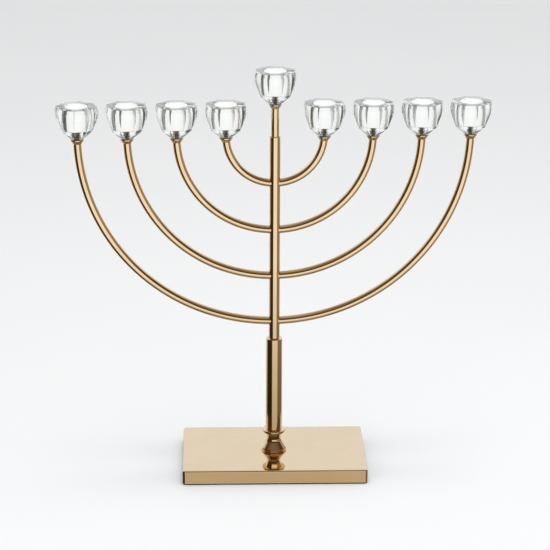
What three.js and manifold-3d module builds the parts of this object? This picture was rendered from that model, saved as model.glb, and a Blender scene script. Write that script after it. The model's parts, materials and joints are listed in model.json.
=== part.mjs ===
// A nine-light candelabrum. Four concentric U-shaped tube arms pass through one column, and a threaded rod
// clamps the column to a weighted rectangular base. Each arm end, and the raised stem in the middle,
// carries a turned dish with an octagonal crystal candle cup, held down by one flat-headed screw that is
// sunk in the floor of its candle bore.
// Millimetres, +Z up, +X along the arms, -Y to the front. The origin is under the middle of the base.
import * as THREE from "three";
import { mergeVertices } from "three/addons/utils/BufferGeometryUtils.js";
import Module from "manifold-3d";

const wasm = await Module();
wasm.setup();

// ---- Driving dimensions -------------------------------------------------------------------------------

const CUT_GAP = 0.3; // space round a part that passes through a cut hole
const SEAT_GAP = 0.1; // space between turned parts that sit in or on each other
const RUN_GAP = 0.2; // space where one part turns on another

const SMALL_ROUND = 10; // sides of the small turned parts
const ROUND = 20; // sides of the column, the foot and the candle bores

const BASE_LENGTH = 194;
const BASE_DEPTH = 116;
const BASE_TURN_DEG = -2.5; // how far the base stands off the plane of the arms
const BASE_TOP = 15.6; // height of the base above the table
const BASE_CORNER = 3.5; // radius of its four upright corners
const BASE_EDGE = 1.8; // rounding of its top edge
const COVER_WALL = 1.6;
const PAD_THICKNESS = 1.2;
const PAD_INSET = 0.8;
const WEIGHT_THICKNESS = 5.5;
const WEIGHT_SIDE_GAP = 1.2;

const ROD_RADIUS = 3; // M6
const ROD_HOLE_RADIUS = 3.4;
const WASHER_RADIUS = 9;
const WASHER_THICKNESS = 1.4;
const NUT_RADIUS = 5.77; // corner radius of a 10 mm hexagon
const NUT_HEIGHT = 4.8;
const ROD_TAIL = 0.5; // how far the rod stands out below its nut

// Every height in the next lines is above the base.
const FOOT_UNDER_RADIUS = 12.6; // where the bell stands on the base
const FOOT_RADIUS = 13.75; // its rim, from FOOT_RIM_BOTTOM to FOOT_RIM_TOP
const FOOT_RIM_BOTTOM = 1.4;
const FOOT_RIM_TOP = 2.6;
const FLARE_FOOT_RADIUS = 13.4; // the flare starts here and narrows by FLARE_SLOPE_DEG from the upright
const FLARE_FOOT = 3.2;
const FLARE_SLOPE_DEG = 36;
const FLARE_ARC_RADIUS = 7; // it ends in an arc that is upright at FLARE_TOP
const FLARE_TOP = 13.4;
const NECK_RADIUS = 7.6; // the narrowest place, at FLARE_TOP
const NECK_TOP_RADIUS = 8.8; // under the ring
const RING_BOTTOM = 20.3;
const RING_TOP = 23.3;
const RING_RADIUS = 12.25;

const SLEEVE_RADIUS = 8.5;
const SLEEVE_TOP = 126.7;
const COLUMN_RADIUS = 5.65;
const COLUMN_BORE = 4.5;
const COLUMN_TOP = 345.5;
const PLUG_LENGTH = 18;

const TUBE_RADIUS = 4.2; // arms and stem
const TUBE_BORE = 3.3;
const TUBE_SIDES = 12;
const ARM_RADII = [50, 100, 150, 200];
const ARM_CENTRE = 346.4; // all four half circles share this centre
const DEGREES_PER_STEP = [18, 12.86, 10, 8.18]; // turn from one straight piece of each arm to the next

const SIDE_DISH_TOP = 345.5;
const STEM_DISH_TOP = 379.5;
const STEM_DEPTH = 35; // length of the stem that is hidden in the column

const DISH_RADIUS = 7.2;
const DISH_WAIST = 4.75;
const DISH_HEIGHT = 4.6;
const DISH_LIP = 1; // upright band round its top edge
const SPIGOT_RADIUS = 2.6;
const SPIGOT_LENGTH = 2;
const TUBE_END_GAP = 0.6; // between a tube's end and the underside of its dish

const SCREW_RADIUS = 2; // M4
const SCREW_HEAD_RADIUS = 4; // flat on top, with a cone of 90 degrees below
const SCREW_RECESS_RADIUS = 1.45; // corner radius of its hexagonal recess
const SCREW_RECESS_DEPTH = 1.3;

const CUP_HEIGHT = 34; // from the dish to the rim
const CUP_BORE_RADIUS = 11.5; // takes a 22 mm candle
const CUP_BORE_DEPTH = 23;
const CUP_HOLE_RADIUS = 3.1;
const CUP_SIDES = 8;
// Corner radius and height above the dish of each tier edge of a cup, from the rim down.
const CUP_TIERS = [
  [21.2, 34],
  [22.4, 29.8],
  [21.7, 23.4],
  [18.8, 15.4],
  [15.8, 8.2],
  [7, 0.6],
];

const GROMMET_FOOT_RADIUS = 5.8;
const GROMMET_FOOT_HEIGHT = 0.5;
const GROMMET_TUBE_RADIUS = 2.8;
const GROMMET_CONE_GAP = 0.3; // between the cone of the screw head and the bush, measured level
const GROMMET_CONE_WALL = 0.6; // thickness of the bush beside that cone, measured level
const SINK_GAP = 0.35; // between the bush and the sunk hole in the crystal, measured level

// How far each cup, from -X to +X, was turned when its screw was tightened.
const CUP_TURNS_DEG = [14.3, 3.6, 3.1, -1.1, -3.2, -0.9, -6.1, -12.5, -13.7];

// ---- Materials ----------------------------------------------------------------------------------------

const FINISHES = {
  gold: { color: 0xd8a866, roughness: 0.12, metalness: 1 },
  steel: { color: 0xb9bcc0, roughness: 0.35, metalness: 1 },
  iron: { color: 0x4a4a4c, roughness: 0.7, metalness: 0.8 },
  crystal: { color: 0xf4f8f8, roughness: 0.02, metalness: 0, transparent: true, opacity: 0.35 },
  silicone: { color: 0x6f7472, roughness: 0.6, metalness: 0 },
  felt: { color: 0x1c1b1a, roughness: 1, metalness: 0 },
};

// ---- Geometry helpers ---------------------------------------------------------------------------------

// Turns an outline of [radius, height] points round the Z axis. The first point is repeated at the end
// unless the outline starts and ends on the axis. A flat faces -Y.
function turned(outline, sides) {
  const onAxis = outline[0][0] === 0;
  const closed = onAxis ? outline : [...outline, outline[0]];
  const points = closed.map(([radius, height]) => new THREE.Vector2(radius, height));
  const geometry = new THREE.LatheGeometry(points, sides, Math.PI / sides);
  return geometry.rotateX(Math.PI / 2);
}

// A straight tube or ring from bottom to top.
function tubeBetween(bore, radius, bottom, top, sides) {
  return turned(
    [
      [bore, bottom],
      [radius, bottom],
      [radius, top],
      [bore, top],
    ],
    sides,
  );
}

// A solid disc or prism from bottom to top.
function rodBetween(radius, bottom, top, sides) {
  return turned(
    [
      [0, bottom],
      [radius, bottom],
      [radius, top],
      [0, top],
    ],
    sides,
  );
}

function roundedRectangle(length, depth, corner) {
  const x = length / 2;
  const y = depth / 2;
  const shape = new THREE.Shape();
  shape.moveTo(-x + corner, -y);
  shape.lineTo(x - corner, -y);
  shape.absarc(x - corner, -y + corner, corner, -Math.PI / 2, 0);
  shape.lineTo(x, y - corner);
  shape.absarc(x - corner, y - corner, corner, 0, Math.PI / 2);
  shape.lineTo(-x + corner, y);
  shape.absarc(-x + corner, y - corner, corner, Math.PI / 2, Math.PI);
  shape.lineTo(-x, -y + corner);
  shape.absarc(-x + corner, -y + corner, corner, Math.PI, Math.PI * 1.5);
  return shape;
}

// A flat slab with rounded upright corners.
function slab(length, depth, corner, bottom, top) {
  const shape = roundedRectangle(length, depth, corner);
  const options = { depth: top - bottom, bevelEnabled: false, curveSegments: 3 };
  return new THREE.ExtrudeGeometry(shape, options).translate(0, 0, bottom);
}

function solidOf(geometry) {
  const bare = geometry.clone();
  bare.deleteAttribute("normal");
  bare.deleteAttribute("uv");
  const merged = mergeVertices(bare, 1e-4);
  const vertProperties = merged.attributes.position.array;
  const triVerts = new Uint32Array(merged.index.array);
  return new wasm.Manifold(new wasm.Mesh({ numProp: 3, vertProperties, triVerts }));
}

// The first geometry with all the others cut away from it.
function cut(geometry, ...tools) {
  const left = tools.reduce((solid, tool) => solid.subtract(solidOf(tool)), solidOf(geometry));
  const { vertProperties, triVerts } = left.getMesh();
  const result = new THREE.BufferGeometry();
  result.setAttribute("position", new THREE.BufferAttribute(vertProperties, 3));
  result.setIndex(new THREE.BufferAttribute(triVerts, 1));
  result.computeVertexNormals();
  return result;
}

function addPiece(parent, name, geometry, finish) {
  const mesh = new THREE.Mesh(geometry, new THREE.MeshStandardMaterial(FINISHES[finish]));
  mesh.name = name;
  parent.add(mesh);
}

// ---- Base ---------------------------------------------------------------------------------------------

// A pressed cover, open below, over an iron weight. Felt closes the underside.
function addBase(parent) {
  const coverBottom = PAD_THICKNESS;
  const coverSkin = BASE_TOP - COVER_WALL;
  const holeThrough = rodBetween(ROD_HOLE_RADIUS, 0, BASE_TOP + 1, ROUND);
  const inner = slab(
    BASE_LENGTH - 2 * COVER_WALL,
    BASE_DEPTH - 2 * COVER_WALL,
    BASE_CORNER - COVER_WALL,
    0,
    coverSkin,
  );
  addPiece(parent, "base_cover", cut(coverBlank(coverBottom), inner, holeThrough), "gold");

  const weightTop = coverSkin - SEAT_GAP;
  const weightBottom = weightTop - WEIGHT_THICKNESS;
  const inset = 2 * (COVER_WALL + WEIGHT_SIDE_GAP);
  const weight = slab(BASE_LENGTH - inset, BASE_DEPTH - inset, 1, weightBottom, weightTop);
  addPiece(parent, "base_weight", cut(weight, holeThrough), "iron");

  const pad = slab(
    BASE_LENGTH - 2 * PAD_INSET,
    BASE_DEPTH - 2 * PAD_INSET,
    BASE_CORNER - PAD_INSET,
    0,
    PAD_THICKNESS - SEAT_GAP,
  );
  addPiece(parent, "base_pad", pad, "felt");
  return weightBottom;
}

// The outside of the cover: upright sides and a rounded top edge.
function coverBlank(bottom) {
  const shape = roundedRectangle(
    BASE_LENGTH - 2 * BASE_EDGE,
    BASE_DEPTH - 2 * BASE_EDGE,
    BASE_CORNER - BASE_EDGE,
  );
  const blank = new THREE.ExtrudeGeometry(shape, {
    depth: BASE_TOP - 2 * BASE_EDGE,
    bevelEnabled: true,
    bevelThickness: BASE_EDGE,
    bevelSize: BASE_EDGE,
    bevelSegments: 2,
    curveSegments: 3,
  }).translate(0, 0, BASE_EDGE);
  const below = slab(BASE_LENGTH * 2, BASE_DEPTH * 2, 1, -BASE_EDGE, bottom);
  return cut(blank, below);
}

// ---- Rod, nut and washer ------------------------------------------------------------------------------

// They hang from the column's plug and pull the foot down on the base.
function addClamp(parent, weightBottom) {
  const washerTop = weightBottom - SEAT_GAP;
  const washerBottom = washerTop - WASHER_THICKNESS;
  const nutTop = washerBottom - SEAT_GAP;
  const nutBottom = nutTop - NUT_HEIGHT;
  const threadClearance = ROD_RADIUS + SEAT_GAP;
  const rodTop = BASE_TOP + RING_TOP + PLUG_LENGTH;
  const washer = tubeBetween(ROD_HOLE_RADIUS, WASHER_RADIUS, washerBottom, washerTop, ROUND);
  const nutBlank = rodBetween(NUT_RADIUS, nutBottom, nutTop, 6);
  const nutThread = rodBetween(threadClearance, nutBottom - 1, nutTop + 1, ROUND);
  addPiece(parent, "base_washer", washer, "steel");
  addPiece(parent, "base_nut", cut(nutBlank, nutThread), "steel");
  addPiece(parent, "tie_rod", rodBetween(ROD_RADIUS, nutBottom - ROD_TAIL, rodTop, ROUND), "steel");
}

// ---- Foot, sleeve, column and stem --------------------------------------------------------------------

// A bell with a rounded rim, a flare that narrows to the neck and widens again below a flat ring.
function addFoot(parent) {
  const arcSteps = 3;
  const flare = [[FLARE_FOOT_RADIUS, FLARE_FOOT]];
  for (let step = 0; step <= arcSteps; step++) {
    const slope = THREE.MathUtils.degToRad(FLARE_SLOPE_DEG * (1 - step / arcSteps));
    const radius = NECK_RADIUS + FLARE_ARC_RADIUS * (1 - Math.cos(slope));
    const height = FLARE_TOP - FLARE_ARC_RADIUS * Math.sin(slope);
    flare.push([radius, height]);
  }
  const neckTop = RING_BOTTOM - SEAT_GAP;
  for (let step = 1; step <= arcSteps; step++) {
    const share = step / arcSteps;
    const radius = NECK_RADIUS + (NECK_TOP_RADIUS - NECK_RADIUS) * share * share;
    flare.push([radius, FLARE_TOP + (neckTop - FLARE_TOP) * share]);
  }
  const bell = turned(
    [
      [ROD_HOLE_RADIUS, RUN_GAP],
      [FOOT_UNDER_RADIUS, RUN_GAP],
      [FOOT_RADIUS, FOOT_RIM_BOTTOM],
      [FOOT_RADIUS, FOOT_RIM_TOP],
      ...flare,
      [ROD_HOLE_RADIUS, neckTop],
    ],
    ROUND,
  );
  addPiece(parent, "foot_bell", bell, "gold");
  const ring = tubeBetween(ROD_HOLE_RADIUS, RING_RADIUS, RING_BOTTOM, RING_TOP, ROUND);
  addPiece(parent, "foot_ring", ring, "gold");
}

function addColumn(parent) {
  const bottom = RING_TOP + SEAT_GAP;
  const sleeveBore = COLUMN_RADIUS + SEAT_GAP;
  const sleeve = tubeBetween(sleeveBore, SLEEVE_RADIUS, bottom, SLEEVE_TOP, ROUND);
  addPiece(parent, "column_sleeve", sleeve, "gold");

  const columnBlank = tubeBetween(COLUMN_BORE, COLUMN_RADIUS, bottom, COLUMN_TOP, ROUND);
  const holes = ARM_RADII.map((_, index) => armGeometry(index, TUBE_RADIUS + CUT_GAP, 0));
  addPiece(parent, "column", cut(columnBlank, ...holes), "gold");

  const plug = tubeBetween(
    ROD_RADIUS + SEAT_GAP,
    COLUMN_BORE - SEAT_GAP,
    bottom,
    bottom + PLUG_LENGTH,
    ROUND,
  );
  addPiece(parent, "column_plug", plug, "steel");

  const stemTop = STEM_DISH_TOP - DISH_HEIGHT - TUBE_END_GAP;
  const stemBottom = COLUMN_TOP - STEM_DEPTH;
  const stem = tubeBetween(TUBE_BORE, TUBE_RADIUS, stemBottom, stemTop, SMALL_ROUND);
  addPiece(parent, "shamash_stem", stem, "gold");
}

// ---- Arms ---------------------------------------------------------------------------------------------

// The middle line of one arm: an arc that stops a little short of a half circle, under its two dishes.
class ArmLine extends THREE.Curve {
  constructor(radius) {
    super();
    this.radius = radius;
    const endHeight = SIDE_DISH_TOP - DISH_HEIGHT - TUBE_END_GAP;
    this.reach = Math.acos((ARM_CENTRE - endHeight) / radius);
  }

  getPoint(share, target = new THREE.Vector3()) {
    const angle = (2 * share - 1) * this.reach;
    const x = this.radius * Math.sin(angle);
    const z = ARM_CENTRE - this.radius * Math.cos(angle);
    return target.set(x, 0, z);
  }
}

// A tube along an arm's middle line, or a solid bar where the bore is 0.
function armGeometry(index, radius, bore) {
  const ring = new THREE.Shape().absarc(0, 0, radius, 0, 2 * Math.PI);
  if (bore > 0) ring.holes.push(new THREE.Path().absarc(0, 0, bore, 0, 2 * Math.PI, true));
  return new THREE.ExtrudeGeometry(ring, {
    steps: 2 * Math.round(90 / DEGREES_PER_STEP[index]),
    curveSegments: TUBE_SIDES / 2,
    extrudePath: new ArmLine(ARM_RADII[index]),
  });
}

function addArms(parent) {
  ARM_RADII.forEach((_, index) => {
    addPiece(parent, "arm_" + (index + 1), armGeometry(index, TUBE_RADIUS, TUBE_BORE), "gold");
  });
}

// ---- Candle cups --------------------------------------------------------------------------------------

// A small funnel-shaped dish with a spigot that enters the tube. Height 0 is its top.
function dishGeometry() {
  const threadRadius = SCREW_RADIUS + SEAT_GAP;
  const spigotBottom = -DISH_HEIGHT - SPIGOT_LENGTH;
  return turned(
    [
      [threadRadius, spigotBottom],
      [SPIGOT_RADIUS, spigotBottom],
      [SPIGOT_RADIUS, -DISH_HEIGHT],
      [DISH_WAIST, -DISH_HEIGHT],
      [DISH_RADIUS, -DISH_LIP],
      [DISH_RADIUS, 0],
      [threadRadius, 0],
    ],
    SMALL_ROUND,
  );
}

// The screw head, the bush round it and the sunk hole in the crystal are cones with one slope, each a
// little wider than the last. At HEAD_TOP such a cone has the radius of the head plus its own extra.
const BORE_FLOOR = CUP_HEIGHT - CUP_BORE_DEPTH;
const HEAD_TOP = BORE_FLOOR - SEAT_GAP;
const BUSH_INSIDE = GROMMET_CONE_GAP;
const BUSH_OUTSIDE = BUSH_INSIDE + GROMMET_CONE_WALL;
const SINK = BUSH_OUTSIDE + SINK_GAP;

// Height at which the cone with this extra has narrowed to the given radius.
function coneHeight(extra, radius) {
  return HEAD_TOP - (SCREW_HEAD_RADIUS + extra - radius);
}

// An octagonal crystal with tiers of facets outside, a round candle bore and a sunk screw hole in its floor.
function cupGeometry() {
  const outline = [...CUP_TIERS].reverse();
  const bottom = outline[0][1];
  const above = BORE_FLOOR + 1;
  const body = turned([[0, bottom], ...outline, [0, CUP_HEIGHT]], CUP_SIDES);
  const bore = rodBetween(CUP_BORE_RADIUS, BORE_FLOOR, CUP_HEIGHT + 1, ROUND);
  const screwHole = turned(
    [
      [0, bottom - 1],
      [CUP_HOLE_RADIUS, bottom - 1],
      [CUP_HOLE_RADIUS, coneHeight(SINK, CUP_HOLE_RADIUS)],
      [SCREW_HEAD_RADIUS + SINK + above - HEAD_TOP, above],
      [0, above],
    ],
    SMALL_ROUND,
  );
  return cut(body, bore, screwHole);
}

// A soft bush through the floor of a cup, with a flange below the crystal and a cone under the screw head.
function grommetGeometry() {
  const bore = SCREW_RADIUS + RUN_GAP;
  return turned(
    [
      [bore, SEAT_GAP / 2],
      [GROMMET_FOOT_RADIUS, SEAT_GAP / 2],
      [GROMMET_FOOT_RADIUS, GROMMET_FOOT_HEIGHT],
      [GROMMET_TUBE_RADIUS, GROMMET_FOOT_HEIGHT],
      [GROMMET_TUBE_RADIUS, coneHeight(BUSH_OUTSIDE, GROMMET_TUBE_RADIUS)],
      [SCREW_HEAD_RADIUS + BUSH_OUTSIDE, HEAD_TOP],
      [SCREW_HEAD_RADIUS + BUSH_INSIDE, HEAD_TOP],
      [bore, coneHeight(BUSH_INSIDE, bore)],
    ],
    SMALL_ROUND,
  );
}

// A flat-headed screw with a hexagonal recess.
function screwGeometry() {
  const tip = -DISH_HEIGHT - SPIGOT_LENGTH;
  const screw = turned(
    [
      [0, tip],
      [SCREW_RADIUS, tip],
      [SCREW_RADIUS, coneHeight(0, SCREW_RADIUS)],
      [SCREW_HEAD_RADIUS, HEAD_TOP],
      [0, HEAD_TOP],
    ],
    SMALL_ROUND,
  );
  return cut(screw, rodBetween(SCREW_RECESS_RADIUS, HEAD_TOP - SCREW_RECESS_DEPTH, HEAD_TOP + 1, 6));
}

// Dish, cup, bush and screw at each of the nine places. They are numbered from -X to +X.
function addCups(parent) {
  const side = [...ARM_RADII].reverse().map((radius) => -radius);
  const places = [...side, 0, ...ARM_RADII];
  places.forEach((x, index) => {
    const number = index + 1;
    const place = new THREE.Group();
    place.position.set(x, 0, x === 0 ? STEM_DISH_TOP : SIDE_DISH_TOP);
    addPiece(place, "dish_" + number, dishGeometry(), "gold");
    addPiece(place, "cup_grommet_" + number, grommetGeometry(), "silicone");
    addPiece(place, "cup_screw_" + number, screwGeometry(), "steel");
    const turn = new THREE.Group();
    turn.rotation.z = THREE.MathUtils.degToRad(CUP_TURNS_DEG[index]);
    addPiece(turn, "crystal_cup_" + number, cupGeometry(), "crystal");
    place.add(turn);
    parent.add(place);
  });
}

// ---- Assembly -----------------------------------------------------------------------------------------

const candelabrum = new THREE.Group();
const base = new THREE.Group();
base.rotation.z = THREE.MathUtils.degToRad(BASE_TURN_DEG);
const weightBottom = addBase(base);
candelabrum.add(base);
addClamp(candelabrum, weightBottom);

const aboveBase = new THREE.Group();
aboveBase.position.z = BASE_TOP;
addFoot(aboveBase);
addColumn(aboveBase);
addArms(aboveBase);
addCups(aboveBase);
candelabrum.add(aboveBase);

export default candelabrum;
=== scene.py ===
"""Looks for a nine-light candelabrum: polished gold tubes and base, faceted crystal candle cups.

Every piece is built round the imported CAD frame, in metres, and stands for one CAD node.
"""

import json
import math

import bmesh
import bpy
from mathutils import Matrix, Vector

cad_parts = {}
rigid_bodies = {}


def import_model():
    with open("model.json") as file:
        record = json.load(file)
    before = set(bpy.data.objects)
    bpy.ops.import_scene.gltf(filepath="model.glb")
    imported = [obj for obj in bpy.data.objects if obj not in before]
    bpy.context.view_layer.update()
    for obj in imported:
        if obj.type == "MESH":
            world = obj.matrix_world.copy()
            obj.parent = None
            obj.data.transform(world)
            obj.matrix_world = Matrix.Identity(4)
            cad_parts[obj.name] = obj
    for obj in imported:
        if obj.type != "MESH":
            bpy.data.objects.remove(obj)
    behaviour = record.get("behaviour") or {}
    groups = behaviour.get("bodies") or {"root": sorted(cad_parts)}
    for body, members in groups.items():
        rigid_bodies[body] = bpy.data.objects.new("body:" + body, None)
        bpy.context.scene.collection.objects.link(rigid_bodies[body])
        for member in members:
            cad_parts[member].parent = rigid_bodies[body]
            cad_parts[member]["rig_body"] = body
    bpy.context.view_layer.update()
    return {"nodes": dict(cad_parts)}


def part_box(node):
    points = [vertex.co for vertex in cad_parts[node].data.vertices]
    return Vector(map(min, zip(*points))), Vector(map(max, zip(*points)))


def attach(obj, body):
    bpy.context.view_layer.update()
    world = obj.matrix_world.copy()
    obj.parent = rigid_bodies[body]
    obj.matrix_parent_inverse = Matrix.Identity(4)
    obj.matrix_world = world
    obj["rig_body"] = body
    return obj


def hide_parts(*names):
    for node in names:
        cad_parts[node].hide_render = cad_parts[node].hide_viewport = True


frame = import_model()
boxes = {node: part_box(node) for node in frame["nodes"]}

MM = 0.001

# Camera: azimuth from the front towards +X, elevation above the table, in degrees.
CAMERA_AZIMUTH = -4.2
CAMERA_ELEVATION = 19.25
CAMERA_ROLL = 0.26
CAMERA_DISTANCE = 2.078
CAMERA_TARGET = Vector((0.00055, 0, 0.21205))
CAMERA_LENS = 130.9  # for the 36 mm sensor

# Turned and swept pieces.
SIDES = 96
SMALL_SIDES = 64
EDGE = 0.25 * MM  # rounding of an ordinary turned edge
SHARP_DEG = 35
SLIDE_GAP = 0.1 * MM  # between a bore and the rod or tube in it
CLOSE_GAP = 0.05 * MM  # between pieces that are pressed or brazed together

# Tubes and column.
TUBE_RADIUS = 4.2 * MM
TUBE_BORE = 3.3 * MM
COLUMN_RADIUS = 5.65 * MM
COLUMN_BORE = 4.5 * MM
SLEEVE_RADIUS = 8.5 * MM
ARM_COUNT = 4
ARM_STEP = 2.2 * MM  # length of one straight piece of an arm
FILLET = 0.8 * MM  # reach of the brazing where a tube meets the column

# Foot: a bell with a rounded rim and a flare that ends in an upright arc at the neck, which widens
# again under the ring. Heights are above the base.
FOOT_UNDER_RADIUS = 12.6 * MM
FOOT_RADIUS = 13.75 * MM
FOOT_RIM_BOTTOM = 1.4 * MM
FOOT_RIM_TOP = 2.6 * MM
FLARE_FOOT_RADIUS = 13.4 * MM
FLARE_FOOT = 3.2 * MM
FLARE_SLOPE = math.radians(36)
FLARE_ARC_RADIUS = 7 * MM
FLARE_TOP = 13.4 * MM
NECK_RADIUS = 7.6 * MM  # the narrowest place
NECK_TOP_RADIUS = 8.8 * MM
RING_RADIUS = 12.25 * MM
ROD_RADIUS = 3 * MM
ROD_HOLE = 3.4 * MM

# Base.
BASE_LENGTH = 194 * MM
BASE_DEPTH = 116 * MM
BASE_TURN = Matrix.Rotation(math.radians(-2.5), 4, "Z")  # from the plane of the arms
BASE_CORNER = 3.5 * MM
BASE_EDGE = 1.8 * MM
BASE_WALL = 1.6 * MM
WEIGHT_INSET = 2.8 * MM
PAD_INSET = 0.8 * MM
WASHER_RADIUS = 9 * MM

# Dishes, cups, bushes and screws.
DISH_RADIUS = 7.2 * MM
DISH_WAIST = 4.75 * MM
DISH_HEIGHT = 4.6 * MM
DISH_LIP = 1 * MM
SPIGOT_RADIUS = 2.6 * MM
SCREW_RADIUS = 2 * MM
SCREW_HEAD = 4 * MM
SCREW_PITCH = 0.7 * MM
RECESS_CORNER = 1.45 * MM
RECESS_DEPTH = 1.3 * MM
ROD_PITCH = 1 * MM
CUP_COUNT = 9
MIDDLE_CUP = 5
CUP_SIDES = 8
CUP_BORE = 11.5 * MM
CUP_BORE_DEPTH = 23 * MM
CUP_HOLE = 3.1 * MM
CUP_BEVEL = 0.35 * MM
# Corner radius and height above the dish, in millimetres, of each edge between two tiers of facets.
CUP_TIERS = ((7, 0.6), (15.8, 8.2), (18.8, 15.4), (21.7, 23.4), (22.4, 29.8), (21.2, 34))
# The screw head, the bush round it and the sunk hole in the crystal are cones with one slope. These
# are how much wider than the head the others are.
BUSH_INSIDE = 0.3 * MM
BUSH_OUTSIDE = 0.9 * MM
SINK = 1.25 * MM
BUSH_BORE = 2.15 * MM
BUSH_TUBE = 2.8 * MM
BUSH_FLANGE = 5.8 * MM


# ---- Node graphs -------------------------------------------------------------------------------


class Graph:
    """Adds nodes to one node tree. An input takes a plain value or another node's output socket."""

    def __init__(self, tree):
        self.tree = tree
        tree.nodes.clear()

    def add(self, kind, inputs=(), **settings):
        node = self.tree.nodes.new("ShaderNode" + kind)
        for name, value in settings.items():
            setattr(node, name, value)
        for key, value in dict(inputs).items():
            if isinstance(value, bpy.types.NodeSocket):
                self.tree.links.new(value, node.inputs[key])
            else:
                node.inputs[key].default_value = value
        return node

    def math(self, operation, *values):
        node = self.add("Math", dict(enumerate(values)), operation=operation)
        return node.outputs[0]

    def ramp(self, value, low, high, to_low=0.0, to_high=1.0):
        """value from low..high, eased, to to_low..to_high."""
        inputs = {"Value": value, "From Min": low, "From Max": high}
        inputs |= {"To Min": to_low, "To Max": to_high}
        return self.add("MapRange", inputs, interpolation_type="SMOOTHSTEP").outputs[0]

    def mix(self, factor, first, second):
        inputs = {0: factor, 6: colour(first), 7: colour(second)}
        return self.add("Mix", inputs, data_type="RGBA").outputs[2]

    def noise(self, scale, detail=2.0, stretch=(1, 1, 1)):
        place = self.add("TexCoord").outputs["Object"]
        mapped = self.add("Mapping", {"Vector": place, "Scale": stretch}).outputs[0]
        inputs = {"Vector": mapped, "Scale": scale, "Detail": detail}
        return self.add("TexNoise", inputs).outputs["Fac"]

    def bump(self, height, strength, distance):
        inputs = {"Height": height, "Strength": strength, "Distance": distance}
        return self.add("Bump", inputs).outputs[0]

    def output(self, surface, volume=None, kind="OutputMaterial"):
        inputs = {"Surface": surface}
        if volume is not None:
            inputs["Volume"] = volume
        self.add(kind, inputs)


def colour(value):
    """An RGB triple gains its alpha; a socket stays as it is."""
    return value if isinstance(value, bpy.types.NodeSocket) else (*value, 1.0)


def new_material(name):
    material = bpy.data.materials.new(name)
    material.use_nodes = True
    return material, Graph(material.node_tree)


# ---- Materials ---------------------------------------------------------------------------------


def gold_material(name, roughness, wave_strength):
    """Pale gold plate under clear lacquer: faint clouding, smudges and a hand-polished waviness."""
    material, graph = new_material(name)
    cloud = graph.noise(35, 3)
    tint = graph.mix(graph.ramp(cloud, 0.3, 0.7), (0.855, 0.65, 0.40), (0.88, 0.675, 0.43))
    smudge = graph.noise(160, 4)
    rough = graph.ramp(smudge, 0.3, 0.75, roughness * 0.8, roughness * 1.35)
    waves = graph.bump(graph.noise(90, 1), wave_strength, 0.1 * MM)
    shader = graph.add(
        "BsdfPrincipled",
        {
            "Base Color": tint,
            "Metallic": 1.0,
            "Roughness": rough,
            "Normal": waves,
            "Coat Weight": 1.0,
            "Coat IOR": 1.45,
            "Coat Roughness": 0.02,
        },
    )
    graph.output(shader.outputs[0])
    return material


def crystal_material():
    """Clear cut crystal: a weak grey-green absorption, and polish that varies a little."""
    material, graph = new_material("cut_crystal")
    rough = graph.ramp(graph.noise(220, 3), 0.4, 0.7, 0.0, 0.012)
    glass = graph.add(
        "BsdfGlass", {"Color": colour((1.0, 1.0, 1.0)), "Roughness": rough, "IOR": 1.52}
    ).outputs[0]
    clear = graph.add("BsdfTransparent", {"Color": colour((0.96, 0.97, 0.965))}).outputs[0]
    shadow = graph.add("LightPath").outputs["Is Shadow Ray"]
    surface = graph.add("MixShader", {0: shadow, 1: glass, 2: clear}).outputs[0]
    tint = graph.mix(graph.noise(60, 1), (0.80, 0.88, 0.84), (0.84, 0.90, 0.87))
    inside = graph.add("VolumeAbsorption", {"Color": tint, "Density": 14.0}).outputs[0]
    graph.output(surface, inside)
    return material


def steel_material():
    """Zinc-plated steel with fine turning lines."""
    material, graph = new_material("zinc_steel")
    lines = graph.noise(900, 2, (0.3, 0.3, 4))
    tint = graph.mix(graph.noise(120, 2), (0.42, 0.43, 0.44), (0.56, 0.57, 0.58))
    rough = graph.ramp(lines, 0.3, 0.7, 0.26, 0.42)
    shader = graph.add(
        "BsdfPrincipled",
        {
            "Base Color": tint,
            "Metallic": 1.0,
            "Roughness": rough,
            "Normal": graph.bump(lines, 0.15, 0.05 * MM),
        },
    )
    graph.output(shader.outputs[0])
    return material


def iron_material():
    """Blackened iron slab with a cast, speckled skin."""
    material, graph = new_material("black_iron")
    grain = graph.noise(700, 5)
    tint = graph.mix(grain, (0.015, 0.015, 0.017), (0.06, 0.058, 0.055))
    shader = graph.add(
        "BsdfPrincipled",
        {
            "Base Color": tint,
            "Metallic": 0.6,
            "Roughness": 0.7,
            "Normal": graph.bump(grain, 0.5, 0.2 * MM),
        },
    )
    graph.output(shader.outputs[0])
    return material


def silicone_material():
    """Smoky translucent silicone."""
    material, graph = new_material("smoky_silicone")
    tint = graph.mix(graph.noise(300, 2), (0.15, 0.15, 0.135), (0.22, 0.22, 0.20))
    shader = graph.add(
        "BsdfPrincipled",
        {
            "Base Color": tint,
            "Roughness": 0.45,
            "Subsurface Weight": 0.2,
            "Subsurface Scale": 0.5 * MM,
        },
    )
    graph.output(shader.outputs[0])
    return material


def felt_material():
    """Pressed black felt: matted fibres in two sizes, with a soft sheen."""
    material, graph = new_material("black_felt")
    fibres = graph.noise(1800, 6, (1, 0.35, 1))
    tint = graph.mix(fibres, (0.006, 0.006, 0.006), (0.035, 0.033, 0.031))
    shader = graph.add(
        "BsdfPrincipled",
        {
            "Base Color": tint,
            "Roughness": 0.95,
            "Sheen Weight": 0.5,
            "Normal": graph.bump(fibres, 0.8, 0.3 * MM),
        },
    )
    graph.output(shader.outputs[0])
    return material


TUBE_GOLD = gold_material("tube_gold", 0.09, 0.10)
BASE_GOLD = gold_material("base_gold", 0.03, 0.006)
CRYSTAL = crystal_material()
STEEL = steel_material()
IRON = iron_material()
SILICONE = silicone_material()
FELT = felt_material()


# ---- Mesh helpers ------------------------------------------------------------------------------


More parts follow.
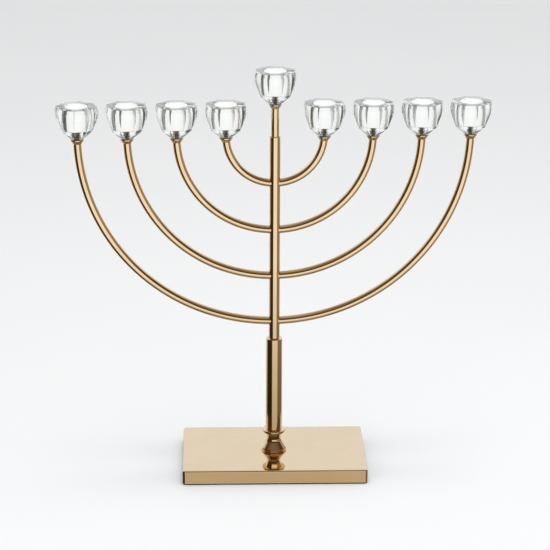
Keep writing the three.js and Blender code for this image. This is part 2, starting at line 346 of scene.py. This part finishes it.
def rounded(points, radii, steps=5):
    """A path of 2-D points with its inner corners rounded. A short straight run is kept on each side
    of a rounded corner, so that smooth shading doesn't reach along the flats."""
    path = []
    last = len(points) - 1
    for i, point in enumerate(points):
        corner = Vector(point)
        radius = radii[i] if isinstance(radii, (list, tuple)) else radii
        if i in (0, last) or radius == 0:
            path.append(corner)
            continue
        before = Vector(points[i - 1]) - corner
        after = Vector(points[i + 1]) - corner
        reach = min(radius, before.length * 0.4, after.length * 0.4)
        start = corner + before.normalized() * reach
        end = corner + after.normalized() * reach
        path.append(start + before.normalized() * reach * 0.2)
        for step in range(steps + 1):
            t = step / steps
            path.append(start * (1 - t) ** 2 + corner * 2 * t * (1 - t) + end * t**2)
        path.append(end + after.normalized() * reach * 0.2)
    return path


def skin(bm, rings, closed):
    """Joins rings of points with faces. A ring of one point is a pole."""
    rows = [[bm.verts.new(point) for point in ring] for ring in rings]
    pairs = list(zip(rows, rows[1:]))
    if closed:
        pairs.append((rows[-1], rows[0]))
    for a, b in pairs:
        count = max(len(a), len(b))
        for i in range(count):
            j = (i + 1) % count
            if len(a) == 1:
                bm.faces.new((a[0], b[j], b[i]))
            elif len(b) == 1:
                bm.faces.new((a[i], a[j], b[0]))
            else:
                bm.faces.new((a[i], a[j], b[j], b[i]))


def circle(radius, z, sides, centre=(0, 0)):
    if radius == 0:
        return [(centre[0], centre[1], z)]
    turns = [2 * math.pi * i / sides for i in range(sides)]
    return [(centre[0] + radius * math.cos(a), centre[1] + radius * math.sin(a), z) for a in turns]


def mesh_from(bm, name, sharp_deg=SHARP_DEG):
    """A closed mesh with outward faces, shaded smooth between its sharp edges."""
    bmesh.ops.recalc_face_normals(bm, faces=bm.faces)
    mesh = bpy.data.meshes.new(name)
    bm.to_mesh(mesh)
    bm.free()
    mesh.shade_smooth()
    mesh.set_sharp_from_angle(angle=math.radians(sharp_deg))
    return mesh


def add_piece(node, mesh, material, stands_for=True):
    """Puts a finished mesh in the scene, on the CAD body that its node belongs to."""
    piece = bpy.data.objects.new("fine_" + node if stands_for else node, mesh)
    bpy.context.scene.collection.objects.link(piece)
    mesh.materials.clear()
    mesh.materials.append(material)
    if stands_for:
        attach(piece, frame["nodes"][node]["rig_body"])
        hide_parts(node)
    return piece


def turned_mesh(name, outline, centre=(0, 0), sides=SIDES):
    """Turns an outline of (radius, z) points that starts and ends on the axis or closes on itself."""
    bm = bmesh.new()
    closed = outline[0][0] > 0
    skin(bm, [circle(radius, z, sides, centre) for radius, z in outline], closed)
    return mesh_from(bm, name)


def turned_loop(corners, radii=EDGE, steps=5):
    """A closed outline from corner points, every corner rounded."""
    count = len(corners)
    wrapped = [corners[-1], *corners, corners[0]]
    each = list(radii) if isinstance(radii, (list, tuple)) else [radii] * count
    return rounded(wrapped, [0, *each, 0], steps)[1:-1]


def tube_mesh(name, bore, radius, bottom, top, centre=(0, 0), edge=EDGE, sides=SIDES):
    corners = [(bore, bottom), (radius, bottom), (radius, top), (bore, top)]
    return turned_mesh(name, turned_loop(corners, edge), centre, sides)


def cut_mesh(mesh, cutters):
    """The mesh with every cutter mesh cut away from it."""
    body = bpy.data.objects.new("cut_body", mesh)
    bpy.context.scene.collection.objects.link(body)
    tools = []
    for cutter in cutters:
        tool = bpy.data.objects.new("cut_tool", cutter)
        bpy.context.scene.collection.objects.link(tool)
        modifier = body.modifiers.new("cut", "BOOLEAN")
        modifier.object = tool
        modifier.operation = "DIFFERENCE"
        modifier.solver = "EXACT"
        tools.append(tool)
    graph = bpy.context.evaluated_depsgraph_get()
    result = bpy.data.meshes.new_from_object(body.evaluated_get(graph))
    for item in (body, *tools):
        bpy.data.objects.remove(item)
    return result


def midpoint(node):
    low, high = boxes[node]
    return (low + high) / 2


# ---- Base --------------------------------------------------------------------------------------


def rectangle_ring(half_length, half_depth, corner, z):
    """Points round a rectangle with rounded corners, evenly spread along its sides."""
    arc_steps, long_steps, short_steps = 8, 30, 18
    ring = []
    quarter = math.pi / 2
    signs = ((1, 1), (-1, 1), (-1, -1), (1, -1))
    for turn, (sx, sy) in enumerate(signs):
        middle = Vector((sx * (half_length - corner), sy * (half_depth - corner)))
        for step in range(arc_steps + 1):
            angle = quarter * (turn + step / arc_steps)
            ring.append(middle + corner * Vector((math.cos(angle), math.sin(angle))))
        nx, ny = signs[(turn + 1) % 4]
        following = Vector((nx * (half_length - corner), ny * (half_depth - corner)))
        angle = quarter * (turn + 1)
        start = ring[-1]
        end = following + corner * Vector((math.cos(angle), math.sin(angle)))
        steps = long_steps if turn % 2 == 0 else short_steps
        ring += [start.lerp(end, step / steps) for step in range(1, steps)]
    return [(point.x, point.y, z) for point in ring]


def slab_rings(half_length, half_depth, corner, path):
    """One rectangle ring for each (inset, z) of a path down the side of a slab."""
    return [
        rectangle_ring(half_length - inset, half_depth - inset, max(corner - inset, 0.3 * MM), z)
        for inset, z in path
    ]


def hole_ring(outer_ring, radius, z):
    """A round hole whose points lie on the same rays as an outer ring's points."""
    flat = [Vector((x, y)).normalized() * radius for x, y, _ in outer_ring]
    return [(point.x, point.y, z) for point in flat]


def slab_mesh(name, inset, corner, edge, hole):
    """A solid slab with rounded edges and an optional round hole, smaller than the base."""
    low, high = boxes[name]
    inward = 20 * MM
    sides = [(inward, high.z), (0, high.z), (0, low.z), (inward, low.z)]
    half_length, half_depth = BASE_LENGTH / 2 - inset, BASE_DEPTH / 2 - inset
    rings = slab_rings(half_length, half_depth, corner, rounded(sides, edge, 4))
    if hole > 0:
        ends = hole_ring(rings[0], hole, high.z), hole_ring(rings[-1], hole, low.z)
    else:
        ends = [(0, 0, high.z)], [(0, 0, low.z)]
    bm = bmesh.new()
    skin(bm, [ends[0], *rings, ends[1]], closed=hole > 0)
    return turned_with_base(mesh_from(bm, name))


def turned_with_base(mesh):
    mesh.transform(BASE_TURN)
    return mesh


def build_base():
    low, high = boxes["base_cover"]
    inward = 20 * MM
    skin_bottom = high.z - BASE_WALL
    path = rounded(
        [
            (inward, high.z),
            (0, high.z),
            (0, low.z),
            (BASE_WALL, low.z),
            (BASE_WALL, skin_bottom),
            (inward, skin_bottom),
        ],
        [0, BASE_EDGE, 0.4 * MM, 0.4 * MM, 0.6 * MM, 0],
        8,
    )
    rings = slab_rings(BASE_LENGTH / 2, BASE_DEPTH / 2, BASE_CORNER, path)
    top_hole = hole_ring(rings[0], ROD_HOLE, high.z)
    bottom_hole = hole_ring(rings[-1], ROD_HOLE, skin_bottom)
    bm = bmesh.new()
    skin(bm, [top_hole, *rings, bottom_hole], closed=True)
    cover = turned_with_base(mesh_from(bm, "base_cover"))
    add_piece("base_cover", cover, BASE_GOLD)
    weight = slab_mesh("base_weight", WEIGHT_INSET, 1 * MM, 0.5 * MM, ROD_HOLE)
    add_piece("base_weight", weight, IRON)
    pad = slab_mesh("base_pad", PAD_INSET, BASE_CORNER, 0.4 * MM, 0)
    add_piece("base_pad", pad, FELT)


# ---- Fasteners ---------------------------------------------------------------------------------


def thread_rings(radius, bottom, top, pitch, centre, sides):
    """Rings of a cylinder with a helical V thread, plain for half a pitch at each end."""
    depth = 0.3 * pitch
    count = round((top - bottom) / pitch * 5)
    rings = []
    for row in range(count + 1):
        z = bottom + (top - bottom) * row / count
        ease = min(1, (z - bottom) / pitch, (top - z) / pitch)
        ring = []
        for i in range(sides):
            share = i / sides
            groove = abs(((z / pitch - share) % 1) * 2 - 1)
            reach = radius - depth * groove * ease
            angle = 2 * math.pi * share
            x, y = reach * math.cos(angle), reach * math.sin(angle)
            ring.append((centre[0] + x, centre[1] + y, z))
        rings.append(ring)
    return rings


def build_clamp():
    """Rod, nut, washer and plug: they draw the column down on the base."""
    low, high = boxes["tie_rod"]
    tip = 0.5 * MM
    sides = 32
    threads = thread_rings(ROD_RADIUS, low.z + tip, high.z - tip, ROD_PITCH, (0, 0), sides)
    bm = bmesh.new()
    small = ROD_RADIUS - tip
    bottom = [circle(0, low.z, 1), circle(small, low.z, sides)]
    top = [circle(small, high.z, sides), circle(0, high.z, 1)]
    skin(bm, [*bottom, *threads, *top], closed=False)
    add_piece("tie_rod", mesh_from(bm, "tie_rod"), STEEL)

    low, high = boxes["base_washer"]
    washer = tube_mesh("base_washer", ROD_HOLE, WASHER_RADIUS, low.z, high.z)
    add_piece("base_washer", washer, STEEL)
    low, high = boxes["column_plug"]
    bore, outside = ROD_RADIUS + SLIDE_GAP, COLUMN_BORE - SLIDE_GAP
    plug = tube_mesh("column_plug", bore, outside, low.z, high.z)
    add_piece("column_plug", plug, STEEL)
    add_piece("base_nut", nut_mesh(), STEEL)


def nut_mesh():
    """A hexagon nut whose corners are turned down at both faces."""
    low, high = boxes["base_nut"]
    flat = high.y
    corner = flat / math.cos(math.pi / 6)
    sides = 72
    bore = ROD_RADIUS + SLIDE_GAP

    def hexagon(limit, z):
        ring = []
        for i in range(sides):
            angle = 2 * math.pi * i / sides
            off = (angle + math.pi / 6) % (math.pi / 3) - math.pi / 6
            reach = min(flat / math.cos(off), limit)
            ring.append((reach * math.sin(angle), reach * math.cos(angle), z))
        return ring

    bevel = 0.7 * MM
    levels = (low.z, low.z + bevel / 2, low.z + bevel, high.z - bevel, high.z - bevel / 2, high.z)
    limits = (flat, (flat + corner) / 2, corner, corner, (flat + corner) / 2, flat)
    rings = [hexagon(limit, z) for limit, z in zip(limits, levels)]
    inner = [hole_ring(rings[0], bore, z) for z in (high.z, low.z)]
    bm = bmesh.new()
    skin(bm, [*rings, *inner], closed=True)
    return mesh_from(bm, "base_nut", 20)


# ---- Foot, sleeve, column and stem -------------------------------------------------------------


def build_foot():
    base = boxes["base_cover"][1].z
    low, high = boxes["foot_bell"]
    arc_steps = 10
    arc = []
    for step in range(arc_steps + 1):
        slope = FLARE_SLOPE * (1 - step / arc_steps)
        radius = NECK_RADIUS + FLARE_ARC_RADIUS * (1 - math.cos(slope))
        arc.append((radius, base + FLARE_TOP - FLARE_ARC_RADIUS * math.sin(slope)))
    under = base + CLOSE_GAP
    rim = rounded(
        [
            (ROD_HOLE, under),
            (FOOT_UNDER_RADIUS, under),
            (FOOT_RADIUS, base + FOOT_RIM_BOTTOM),
            (FOOT_RADIUS, base + FOOT_RIM_TOP),
            (FLARE_FOOT_RADIUS, base + FLARE_FOOT),
            arc[0],
        ],
        [0, 0.3 * MM, 0.6 * MM, 0.4 * MM, 0.4 * MM, 0],
    )
    neck = base + FLARE_TOP
    for step in range(1, arc_steps + 1):
        share = step / arc_steps
        radius = NECK_RADIUS + (NECK_TOP_RADIUS - NECK_RADIUS) * share**2
        arc.append((radius, neck + (high.z - neck) * share))
    bell = turned_mesh("foot_bell", [*rim, *arc[1:], (ROD_HOLE, high.z)])
    add_piece("foot_bell", bell, TUBE_GOLD)

    low, high = boxes["foot_ring"]
    half = (high.z - low.z) / 2
    ring = turned_mesh(
        "foot_ring",
        turned_loop(
            [(ROD_HOLE, low.z), (RING_RADIUS, low.z), (RING_RADIUS, high.z), (ROD_HOLE, high.z)],
            [0.1 * MM, half * 0.9, half * 0.9, 0.1 * MM],
        ),
    )
    add_piece("foot_ring", ring, TUBE_GOLD)


def build_column():
    low, high = boxes["column_sleeve"]
    bore = COLUMN_RADIUS + SLIDE_GAP
    sleeve = tube_mesh("column_sleeve", bore, SLEEVE_RADIUS, low.z, high.z, edge=0.35 * MM)
    add_piece("column_sleeve", sleeve, TUBE_GOLD)

    low, high = boxes["column"]
    blank = tube_mesh("column", COLUMN_BORE, COLUMN_RADIUS, low.z, high.z, edge=0.3 * MM)
    hole, half_length = TUBE_RADIUS + CLOSE_GAP, 12 * MM
    holes = [arm_mesh(number, hole, 0, half_length) for number in range(1, ARM_COUNT + 1)]
    column = cut_mesh(blank, holes)
    column.shade_smooth()
    column.set_sharp_from_angle(angle=math.radians(SHARP_DEG))
    add_piece("column", column, TUBE_GOLD)

    bottom = boxes["shamash_stem"][0].z
    top = dish_top(MIDDLE_CUP) - DISH_HEIGHT
    stem = tube_mesh("shamash_stem", TUBE_BORE, TUBE_RADIUS, bottom, top)
    add_piece("shamash_stem", stem, TUBE_GOLD)


# ---- Arms --------------------------------------------------------------------------------------


def arm_radius(number):
    """Arm 1 ends under the first dish to the right of the middle one, arm 4 under the last."""
    return midpoint(f"dish_{number + MIDDLE_CUP}").x


def arm_centre(number):
    """Height of the centre of an arm's arc."""
    return boxes[f"arm_{number}"][0].z + TUBE_RADIUS + arm_radius(number)


def dish_top(number):
    """Height of a dish's flat top: the crystal stands just above it."""
    return boxes[f"dish_{number}"][1].z


def arm_ring(number, angle, radius, sides):
    """A ring of points round the arm's middle line, at an angle from the lowest point."""
    arc = arm_radius(number)
    centre = arm_centre(number)
    ring = []
    for i in range(sides):
        turn = 2 * math.pi * i / sides
        reach = arc + radius * math.cos(turn)
        x = reach * math.sin(angle)
        z = centre - reach * math.cos(angle)
        ring.append((x, radius * math.sin(turn), z))
    return ring


def arm_mesh(number, radius, bore, half_length=None):
    """The tube of one arm from dish to dish, or, with no bore, a bar round its lowest point."""
    arc = arm_radius(number)
    if half_length:
        reach = half_length / arc
    else:
        end = dish_top(number + MIDDLE_CUP) - DISH_HEIGHT
        reach = math.acos((arm_centre(number) - end) / arc)
    count = 2 * math.ceil(reach * arc / ARM_STEP)
    sides = SMALL_SIDES
    angles = [reach * (2 * i / count - 1) for i in range(count + 1)]
    outside = [arm_ring(number, angle, radius, sides) for angle in angles]
    bm = bmesh.new()
    if bore > 0:
        inside = [arm_ring(number, angle, bore, sides) for angle in reversed(angles)]
        skin(bm, outside + inside, closed=True)
    else:
        middles = [[arm_ring(number, angle, 0, 1)[0]] for angle in (angles[0], angles[-1])]
        skin(bm, [middles[0], *outside, middles[1]], closed=False)
    return mesh_from(bm, f"arm_{number}")


def fillet_mesh(number, side):
    """A concave collar of brazing where an arm leaves the column on one side."""
    arc = arm_radius(number)
    centre = arm_centre(number)
    sides, steps = SMALL_SIDES, 6

    def on_column(turn, reach):
        y = reach * math.sin(turn)
        x = math.sqrt(COLUMN_RADIUS**2 - y**2)
        return Vector((side * x, y, centre - math.sqrt(arc**2 - x**2) - reach * math.cos(turn)))

    def on_arm(turn, out, reach):
        y = reach * math.sin(turn)
        x = math.sqrt(COLUMN_RADIUS**2 - y**2) + out
        return Vector((side * x, y, centre - math.sqrt(arc**2 - x**2) - reach * math.cos(turn)))

    rows = [[] for _ in range(steps + 2)]
    for i in range(sides):
        turn = 2 * math.pi * i / sides
        start = on_arm(turn, FILLET, TUBE_RADIUS)
        corner = on_column(turn, TUBE_RADIUS)
        end = on_column(turn, TUBE_RADIUS + FILLET)
        for step in range(steps + 1):
            t = step / steps
            point = start * (1 - t) ** 2 + corner * 2 * t * (1 - t) + end * t**2
            rows[step].append(point)
        rows[steps + 1].append(on_arm(turn, -0.2 * MM, TUBE_RADIUS - 0.2 * MM))
    bm = bmesh.new()
    skin(bm, rows, closed=True)
    return mesh_from(bm, f"braze_{number}", 50)


def build_arms():
    for number in range(1, ARM_COUNT + 1):
        node = f"arm_{number}"
        add_piece(node, arm_mesh(number, TUBE_RADIUS, TUBE_BORE), TUBE_GOLD)
        for side, word in ((-1, "left"), (1, "right")):
            name, mesh = f"braze_{number}_{word}", fillet_mesh(number, side)
            collar = add_piece(name, mesh, TUBE_GOLD, stands_for=False)
            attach(collar, "candelabrum")


# ---- Dishes, cups, bushes and screws -----------------------------------------------------------


def dish_mesh(number):
    """A funnel-shaped dish with a rounded lip and a spigot below."""
    place = midpoint(f"dish_{number}")
    top = dish_top(number)
    bottom = boxes[f"dish_{number}"][0].z
    seat = top - DISH_HEIGHT
    thread = SCREW_RADIUS + SLIDE_GAP
    outline = rounded(
        [
            (thread, bottom),
            (SPIGOT_RADIUS, bottom),
            (SPIGOT_RADIUS, seat),
            (DISH_WAIST, seat),
            (DISH_RADIUS, top - DISH_LIP),
            (DISH_RADIUS, top),
            (thread, top),
        ],
        [0, 0.2 * MM, 0, 0.3 * MM, 0.5 * MM, 0.3 * MM, 0],
        4,
    )
    return turned_mesh(f"dish_{number}", outline, (place.x, place.y), SMALL_SIDES)


def head_top(number):
    """Height of the flat top of a screw, just below the floor of the candle bore."""
    return boxes[f"cup_screw_{number}"][1].z


def cone_drop(extra, radius):
    """How far below the top of the head a cone this much wider has narrowed to the radius."""
    return SCREW_HEAD + extra - radius


def grommet_mesh(number):
    """A bush: a flange under the crystal, a tube through its floor, a cone round the screw head."""
    node = f"cup_grommet_{number}"
    low, high = boxes[node]
    place = midpoint(node)
    flange_top = low.z + 0.4 * MM
    corners = [
        (BUSH_BORE, low.z),
        (BUSH_FLANGE, low.z),
        (BUSH_FLANGE, flange_top),
        (BUSH_TUBE, flange_top),
        (BUSH_TUBE, high.z - cone_drop(BUSH_OUTSIDE, BUSH_TUBE)),
        (SCREW_HEAD + BUSH_OUTSIDE, high.z),
        (SCREW_HEAD + BUSH_INSIDE, high.z),
        (BUSH_BORE, high.z - cone_drop(BUSH_INSIDE, BUSH_BORE)),
    ]
    outline = turned_loop(corners, 0.12 * MM, 3)
    return turned_mesh(node, outline, (place.x, place.y), SMALL_SIDES)


def screw_mesh(number):
    """A flat-headed screw with a helical thread and a hexagonal recess."""
    node = f"cup_screw_{number}"
    low, high = boxes[node]
    place = midpoint(node)
    centre = (place.x, place.y)
    sides = 36
    cone_bottom = high.z - cone_drop(0, SCREW_RADIUS)
    shank_top = cone_bottom - 1 * MM
    threads = thread_rings(SCREW_RADIUS, low.z + 0.4 * MM, shank_top, SCREW_PITCH, centre, sides)
    crown = rounded(
        [
            (SCREW_RADIUS, cone_bottom),
            (SCREW_HEAD, high.z - 0.1 * MM),
            (SCREW_HEAD, high.z),
            (RECESS_CORNER * 1.15, high.z),
        ],
        [0, 0.1 * MM, 0.1 * MM, 0],
        4,
    )

    def recess_ring(z):
        ring = []
        for i in range(sides):
            angle = 2 * math.pi * i / sides
            off = angle % (math.pi / 3) - math.pi / 6
            reach = RECESS_CORNER * math.cos(math.pi / 6) / math.cos(off)
            x, y = reach * math.cos(angle), reach * math.sin(angle)
            ring.append((centre[0] + x, centre[1] + y, z))
        return ring

    floor = high.z - RECESS_DEPTH
    rings = [
        circle(0, low.z, 1, centre),
        circle(SCREW_RADIUS - 0.5 * MM, low.z, sides, centre),
        *threads,
        *[circle(radius, z, sides, centre) for radius, z in crown],
        recess_ring(high.z - 0.12 * MM),
        recess_ring(floor),
        circle(0, floor - 0.4 * MM, 1, centre),
    ]
    bm = bmesh.new()
    skin(bm, rings, closed=False)
    return mesh_from(bm, node)


def cup_blank():
    """The outside of a cup about the origin: octagonal tiers, each edge with a narrow bevel."""
    half_step = math.pi / CUP_SIDES
    bm = bmesh.new()
    rows = []
    for radius, height in CUP_TIERS:
        row = []
        for i in range(CUP_SIDES):
            angle = half_step * (2 * i + 1)
            x, y = radius * MM * math.cos(angle), radius * MM * math.sin(angle)
            row.append(bm.verts.new((x, y, height * MM)))
        rows.append(row)
    for a, b in zip(rows, rows[1:]):
        for i in range(CUP_SIDES):
            j = (i + 1) % CUP_SIDES
            bm.faces.new((a[i], a[j], b[j], b[i]))
    bm.faces.new(list(reversed(rows[0])))
    bm.faces.new(rows[-1])
    edges = bm.edges[:]
    bmesh.ops.bevel(bm, geom=edges, offset=CUP_BEVEL, segments=2, profile=0.5, affect="EDGES")
    return mesh_from(bm, "cup_blank")


def turned_cutter(name, outline):
    """A solid of revolution about the origin, closed on the axis at both ends."""
    bm = bmesh.new()
    ends = [(0, outline[0][1])], [(0, outline[-1][1])]
    rings = [circle(radius, z, SIDES) for radius, z in [*ends[0], *outline, *ends[1]]]
    skin(bm, rings, closed=False)
    return mesh_from(bm, name)


def cup_mesh():
    """One crystal about the origin, standing on height 0: flat facets and a smooth round bore."""
    rim = CUP_TIERS[-1][1] * MM
    floor = rim - CUP_BORE_DEPTH
    ease = 0.5 * MM
    bore = rounded([(0, floor), (CUP_BORE, floor), (CUP_BORE, rim + ease)], [0, ease, 0])
    head = head_top(1) - dish_top(1)
    above = floor + ease
    sink = [
        (CUP_HOLE, 0),
        (CUP_HOLE, head - cone_drop(SINK, CUP_HOLE)),
        (SCREW_HEAD + SINK + above - head, above),
    ]
    mesh = cut_mesh(cup_blank(), [turned_cutter("bore", bore[1:]), turned_cutter("sink", sink)])
    for face in mesh.polygons:
        middle = math.hypot(face.center.x, face.center.y)
        face.use_smooth = middle < CUP_BORE + 0.01 * MM and abs(face.normal.z) < 0.999
    mesh.set_sharp_from_angle(angle=math.radians(25))
    return mesh


def cup_turn(number):
    """How far a cup was turned when its screw was tightened, in radians, read from its CAD corners."""
    node = f"crystal_cup_{number}"
    place = midpoint(node)
    corners = [vertex.co - place for vertex in frame["nodes"][node].data.vertices]
    widest = max(corners, key=lambda corner: math.hypot(corner.x, corner.y))
    step = 2 * math.pi / CUP_SIDES
    return math.atan2(widest.y, widest.x) % step - step / 2


def build_cups():
    shape = cup_mesh()
    for number in range(1, CUP_COUNT + 1):
        place = midpoint(f"dish_{number}")
        add_piece(f"dish_{number}", dish_mesh(number), TUBE_GOLD)
        add_piece(f"cup_grommet_{number}", grommet_mesh(number), SILICONE)
        add_piece(f"cup_screw_{number}", screw_mesh(number), STEEL)
        mesh = shape.copy()
        stand = Matrix.Translation((place.x, place.y, dish_top(number)))
        mesh.transform(stand @ Matrix.Rotation(cup_turn(number), 4, "Z"))
        add_piece(f"crystal_cup_{number}", mesh, CRYSTAL)


# ---- Studio ------------------------------------------------------------------------------------

FLOOR_RADIUS = 9
CARD_HEIGHT = -1 * MM
LAMP_TARGET = Vector((0, 0, 0.2))
PALE = (0.86, 0.86, 0.855)
AMBIENT = (0.32, 0.32, 0.32)  # the light that matt surfaces gather from all round
# Soft studio panels, one set for what metal mirrors and one for what is seen through the crystal:
# middle azimuth (0 is the front, 90 is +X), middle elevation, half width, half height, softness, all in
# degrees, then the colour. A later panel lies over the ones before it.
METAL_ROOM = (0.30, 0.26, 0.21)
METAL_PANELS = (
    (180, 0, 80, 50, 22, (0.85, 0.88, 0.90)),
    (0, 90, 180, 20, 12, (0.55, 0.52, 0.48)),
    (0, 50, 100, 22, 10, (0.20, 0.14, 0.095)),
    (0, 27, 100, 14, 7, (0.075, 0.046, 0.024)),
    (7.5, -22, 39.5, 30, 7, (1.05, 1.02, 0.98)),
    (-75, -20, 42, 40, 8, (0.050, 0.028, 0.014)),
    (88, -20, 40, 40, 8, (0.32, 0.25, 0.17)),
)
NEAR_FOOT = (0.50, 0.46, 0.37)  # what is left of the panels' light in the card close to the column
CRYSTAL_ROOM = (0.40, 0.40, 0.39)
CRYSTAL_PANELS = (
    (180, -5, 40, 50, 8, (1.05, 1.05, 1.05)),
    (0, -5, 45, 50, 8, (0.80, 0.80, 0.80)),
    (-112, 0, 42, 60, 4, (0.085, 0.083, 0.078)),
    (0, 90, 180, 25, 10, (0.60, 0.62, 0.61)),
    (0, -90, 180, 25, 10, (0.85, 0.85, 0.85)),
)


def studio_pattern(graph, room, panels, azimuth, elevation):
    """The colour of the studio in a direction, from the room colour and the soft panels over it."""
    result = room
    for az, el, width, height, soft, tint in panels:
        aside = graph.math("SUBTRACT", azimuth, az)
        aside = graph.math("ABSOLUTE", graph.math("WRAP", aside, 180.0, -180.0))
        above = graph.math("ABSOLUTE", graph.math("SUBTRACT", elevation, el))
        across = graph.ramp(aside, width + soft, width - soft)
        upright = graph.ramp(above, height + soft, height - soft)
        result = graph.mix(graph.math("MULTIPLY", across, upright), result, tint)
    return result


def direction_angles(graph, direction):
    """Azimuth and elevation of a direction in degrees. Azimuth 0 is the front and +X is at 90."""
    parts = graph.add("SeparateXYZ", {0: direction}).outputs
    backwards = graph.math("MULTIPLY", parts["Y"], -1.0)
    azimuth = graph.math("DEGREES", graph.math("ARCTAN2", parts["X"], backwards))
    elevation = graph.math("DEGREES", graph.math("ARCSINE", parts["Z"]))
    return azimuth, elevation


def build_world():
    world = bpy.data.worlds.new("studio")
    bpy.context.scene.world = world
    world.use_nodes = True
    graph = Graph(world.node_tree)
    angles = direction_angles(graph, graph.add("TexCoord").outputs["Generated"])
    path = graph.add("LightPath").outputs
    in_metal = studio_pattern(graph, METAL_ROOM, METAL_PANELS, *angles)
    in_crystal = studio_pattern(graph, CRYSTAL_ROOM, CRYSTAL_PANELS, *angles)
    tint = graph.mix(path["Is Diffuse Ray"], PALE, AMBIENT)
    tint = graph.mix(path["Is Glossy Ray"], tint, in_metal)
    tint = graph.mix(path["Is Transmission Ray"], tint, in_crystal)
    background = graph.add("Background", {"Color": tint, "Strength": 1.0})
    graph.output(background.outputs[0], kind="OutputWorld")


def flat_disc(name, radius, z, material):
    bm = bmesh.new()
    skin(bm, [circle(0, z, 1), circle(radius, z, SIDES)], closed=False)
    mesh = bpy.data.meshes.new(name)
    bm.to_mesh(mesh)
    bm.free()
    disc = bpy.data.objects.new(name, mesh)
    bpy.context.scene.collection.objects.link(disc)
    mesh.materials.append(material)
    return disc


def build_floor():
    material, graph = new_material("pale_floor")
    tint = graph.mix(graph.noise(3, 2), (0.86, 0.865, 0.875), (0.88, 0.885, 0.89))
    inputs = {"Base Color": tint, "Roughness": 0.6, "Specular IOR Level": 0.2}
    shader = graph.add("BsdfPrincipled", inputs)
    graph.output(shader.outputs[0])
    floor = flat_disc("floor", FLOOR_RADIUS, 0, material)
    floor.visible_glossy = False
    floor.visible_transmission = False

    # What polished metal mirrors in place of the floor: the studio's panels, darker near the column.
    material, graph = new_material("floor_in_metal")
    geometry = graph.add("NewGeometry").outputs
    parts = graph.add("SeparateXYZ", {0: geometry["Position"]}).outputs
    squares = [graph.math("MULTIPLY", parts[axis], parts[axis]) for axis in "XY"]
    distance = graph.math("SQRT", graph.math("ADD", *squares))
    inputs = {0: geometry["Incoming"], "Scale": -1.0}
    direction = graph.add("VectorMath", inputs, operation="SCALE").outputs[0]
    angles = direction_angles(graph, direction)
    pattern = studio_pattern(graph, METAL_ROOM, METAL_PANELS, *angles)
    fade = graph.mix(graph.ramp(distance, 0.0, 0.75), NEAR_FOOT, (1.0, 1.0, 1.0))
    glow = graph.add("VectorMath", {0: pattern, 1: fade}, operation="MULTIPLY").outputs[0]
    emission = graph.add("Emission", {"Color": glow, "Strength": 1.0})
    graph.output(emission.outputs[0])
    card = flat_disc("floor_in_metal", FLOOR_RADIUS, CARD_HEIGHT, material)
    card.visible_camera = False
    card.visible_diffuse = False
    card.visible_transmission = False
    card.visible_shadow = False


def build_lights():
    for name, kind, place, size, power in (
        ("overhead", "SUN", (0, 0, 2), math.radians(30), 1.6),
        ("top_softbox", "AREA", (0.3, -0.2, 1.6), 1.6, 9.0),
        ("front_softbox", "AREA", (-1.2, -1.6, 1.2), 1.2, 5.0),
    ):
        light = bpy.data.lights.new(name, kind)
        if kind == "SUN":
            light.angle = size
        else:
            light.size = size
        light.energy = power
        lamp = bpy.data.objects.new(name, light)
        lamp.location = place
        aim = LAMP_TARGET - Vector(place)
        lamp.rotation_euler = aim.to_track_quat("-Z", "Y").to_euler()
        lamp.visible_glossy = False
        lamp.visible_transmission = False
        bpy.context.scene.collection.objects.link(lamp)


def build_camera():
    azimuth, elevation = math.radians(CAMERA_AZIMUTH), math.radians(CAMERA_ELEVATION)
    back = Vector(
        (
            math.sin(azimuth) * math.cos(elevation),
            -math.cos(azimuth) * math.cos(elevation),
            math.sin(elevation),
        )
    )
    data = bpy.data.cameras.new("camera")
    data.lens = CAMERA_LENS
    data.sensor_width = 36
    camera = bpy.data.objects.new("camera", data)
    camera.location = CAMERA_TARGET + back * CAMERA_DISTANCE
    turn = (-back).to_track_quat("-Z", "Y").to_matrix().to_4x4()
    roll = math.radians(CAMERA_ROLL)
    camera.rotation_euler = (turn @ Matrix.Rotation(roll, 4, "Z")).to_euler()
    bpy.context.scene.collection.objects.link(camera)
    bpy.context.scene.camera = camera


def set_colour_and_bounces():
    scene = bpy.context.scene
    scene.view_settings.view_transform = "Standard"
    scene.cycles.max_bounces = 24
    scene.cycles.transmission_bounces = 24
    scene.cycles.glossy_bounces = 12
    scene.cycles.caustics_reflective = False
    scene.cycles.caustics_refractive = False


build_base()
build_clamp()
build_foot()
build_column()
build_arms()
build_cups()
build_world()
build_floor()
build_lights()
build_camera()
set_colour_and_bounces()
